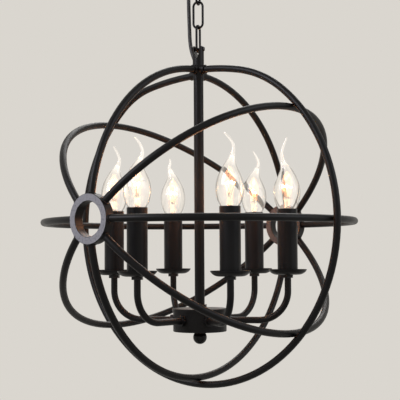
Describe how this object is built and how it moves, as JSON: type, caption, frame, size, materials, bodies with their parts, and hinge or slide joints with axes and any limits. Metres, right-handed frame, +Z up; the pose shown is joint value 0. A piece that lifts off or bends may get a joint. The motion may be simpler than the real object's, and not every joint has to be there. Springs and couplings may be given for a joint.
{
  "type": "candle chandelier with a ball-shaped ring cage",
  "caption": "Black orb chandelier: candle lights on curved arms inside a cage of round bar rings, hung by a short chain from a round ceiling cup.",
  "frame": {"origin": "centre of the ceiling face, the plane of the cup's rim and the crossbar's top", "axes": "+Z up, out of the ceiling face; Y along the line through the cage's two collars; X square to both"},
  "size_m": [0.4312, 0.4126, 0.59],
  "materials": {
    "black_iron": "satin black powder coat",
    "black_steel": "satin black painted steel",
    "zinc_steel": "zinc plated sheet steel",
    "white_plastic": "moulded white polyamide",
    "black_plastic": "moulded black thermoset",
    "cord_rubber": "black sheathed flexible cord",
    "clear_glass": "clear blown glass",
    "cap_metal": "rolled lamp cap"
  },
  "bodies": {
    "ceiling_fitting": {"canopy_cup": "black_iron", "crossbar": "zinc_steel", "canopy_screws": "black_steel", "cap_nuts": "black_steel", "terminal_block": "white_plastic", "hang_loop": "black_iron", "loop_nut": "black_steel", "cord_gland": "black_plastic", "supply_cord": "cord_rubber"},
    "top_link": {"chain_link_top": "black_iron"},
    "middle_link": {"chain_link_middle": "black_iron"},
    "bottom_link": {"chain_link_bottom": "black_iron"},
    "cage": {"clevis_hub": "black_iron", "clevis_pin": "black_steel", "down_rod": "black_iron", "outer_ring": "black_iron", "upright_ring": "black_iron", "level_ring": "black_iron", "rising_ring": "black_iron", "falling_ring": "black_iron", "front_collar": "black_iron", "rear_collar": "black_iron", "drum_shell": "black_iron", "drum_lid": "black_iron", "rod_nuts": "black_steel", "finial": "black_iron", "arm_nuts": "black_steel", "lamp_holders": "black_plastic", "lead_wires": "cord_rubber", "wire_connectors": "white_plastic", "arm_1": "black_iron", "arm_2": "black_iron", "arm_3": "black_iron", "arm_4": "black_iron", "arm_5": "black_iron", "arm_6": "black_iron", "dish_1": "black_iron", "dish_2": "black_iron", "dish_3": "black_iron", "dish_4": "black_iron", "dish_5": "black_iron", "dish_6": "black_iron", "sleeve_1": "black_iron", "sleeve_2": "black_iron", "sleeve_3": "black_iron", "sleeve_4": "black_iron", "sleeve_5": "black_iron", "sleeve_6": "black_iron"},
    "bulb_1": {"bulb_glass_1": "clear_glass", "bulb_cap_1": "cap_metal"},
    "bulb_2": {"bulb_glass_2": "clear_glass", "bulb_cap_2": "cap_metal"},
    "bulb_3": {"bulb_glass_3": "clear_glass", "bulb_cap_3": "cap_metal"},
    "bulb_4": {"bulb_glass_4": "clear_glass", "bulb_cap_4": "cap_metal"},
    "bulb_5": {"bulb_glass_5": "clear_glass", "bulb_cap_5": "cap_metal"},
    "bulb_6": {"bulb_glass_6": "clear_glass", "bulb_cap_6": "cap_metal"}
  },
  "joints": [
    {"name": "top_link_swing", "type": "hinge", "parent": "ceiling_fitting", "child": "top_link", "pos_m": [0, 0, -0.053], "axis": [0.9455, 0.3256, 0], "range_deg": [-20, 20], "deforming": ["supply_cord"]},
    {"name": "middle_link_swing", "type": "hinge", "parent": "top_link", "child": "middle_link", "pos_m": [0, 0, -0.0845], "axis": [-0.3256, 0.9455, 0], "range_deg": [-20, 20], "deforming": ["supply_cord"]},
    {"name": "bottom_link_swing", "type": "hinge", "parent": "middle_link", "child": "bottom_link", "pos_m": [0, 0, -0.1165], "axis": [0.9455, 0.3256, 0], "range_deg": [-20, 20], "deforming": ["supply_cord"]},
    {"name": "cage_swing", "type": "hinge", "parent": "bottom_link", "child": "cage", "pos_m": [0, 0, -0.1485], "axis": [-0.3256, 0.9455, 0], "range_deg": [-15, 15], "deforming": ["supply_cord"]},
    {"name": "bulb_1_lift", "type": "slide", "parent": "cage", "child": "bulb_1", "axis": [0, 0, 1], "range_m": [0, 0.04]},
    {"name": "bulb_2_lift", "type": "slide", "parent": "cage", "child": "bulb_2", "axis": [0, 0, 1], "range_m": [0, 0.04]},
    {"name": "bulb_3_lift", "type": "slide", "parent": "cage", "child": "bulb_3", "axis": [0, 0, 1], "range_m": [0, 0.04]},
    {"name": "bulb_4_lift", "type": "slide", "parent": "cage", "child": "bulb_4", "axis": [0, 0, 1], "range_m": [0, 0.04]},
    {"name": "bulb_5_lift", "type": "slide", "parent": "cage", "child": "bulb_5", "axis": [0, 0, 1], "range_m": [0, 0.04]},
    {"name": "bulb_6_lift", "type": "slide", "parent": "cage", "child": "bulb_6", "axis": [0, 0, 1], "range_m": [0, 0.04]}
  ]
}
